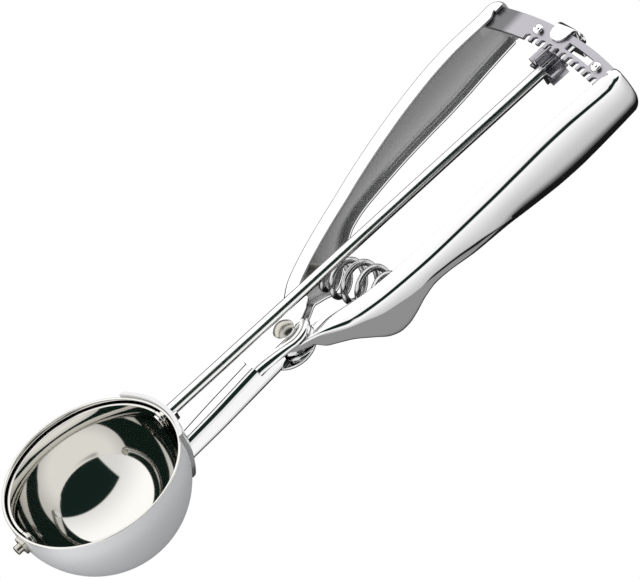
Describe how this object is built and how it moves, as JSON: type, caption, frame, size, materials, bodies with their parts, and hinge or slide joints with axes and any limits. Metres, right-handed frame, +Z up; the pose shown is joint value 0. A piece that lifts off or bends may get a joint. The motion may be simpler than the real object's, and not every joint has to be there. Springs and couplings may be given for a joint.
{
  "type": "lever ice cream scoop",
  "caption": "Squeeze-handle ice cream scoop: round bowl with a sweeping wiper, driven by an arc rack and a pinion on a long spindle; two sprung lever handles.",
  "frame": {"origin": "under the middle of the object, at its lowest point", "axes": "+Z up, out of the bowl; +Y from the bowl back along the handles; +X towards the moving handle"},
  "size_m": [0.0616, 0.2296, 0.0396],
  "materials": {
    "polished_steel": "mirror-polished stainless steel",
    "bowl_steel": "polished stainless steel, satin outside",
    "spring_steel": "drawn steel wire",
    "rack_steel": "stamped steel, plain",
    "rivet_steel": "turned steel"
  },
  "bodies": {
    "frame": {"fixed_handle": "polished_steel", "bowl": "bowl_steel", "rear_bearing": "polished_steel", "front_collar": "polished_steel", "pivot_rivet": "rivet_steel", "pivot_washers": "polished_steel", "guide_clip": "polished_steel", "end_washer": "polished_steel", "spring_stud_fixed": "polished_steel", "coil_spring": "spring_steel"},
    "lever": {"moving_handle": "polished_steel", "rack_plate": "rack_steel", "stop_studs": "rivet_steel", "spring_stud_moving": "polished_steel"},
    "sweep": {"spindle_rod": "polished_steel", "pinion": "rack_steel", "wiper_blade": "bowl_steel", "front_pin": "polished_steel"}
  },
  "joints": [
    {"name": "handle_squeeze", "type": "hinge", "parent": "frame", "child": "lever", "pos_m": [0, -0.01235, 0.0192], "axis": [0, 0, 1], "range_deg": [0, 6.3], "stiffness_Nm_per_rad": 3, "springref_deg": -2.86, "deforming": ["coil_spring"]},
    {"name": "wiper_sweep", "type": "hinge", "parent": "frame", "child": "sweep", "pos_m": [0, -0.08377, 0.03327], "axis": [0, 0.9943, -0.1063], "range_deg": [-176, 0]}
  ],
  "couplings": [
    {"joint": "wiper_sweep", "follows": "handle_squeeze", "ratio": -27.786}
  ]
}
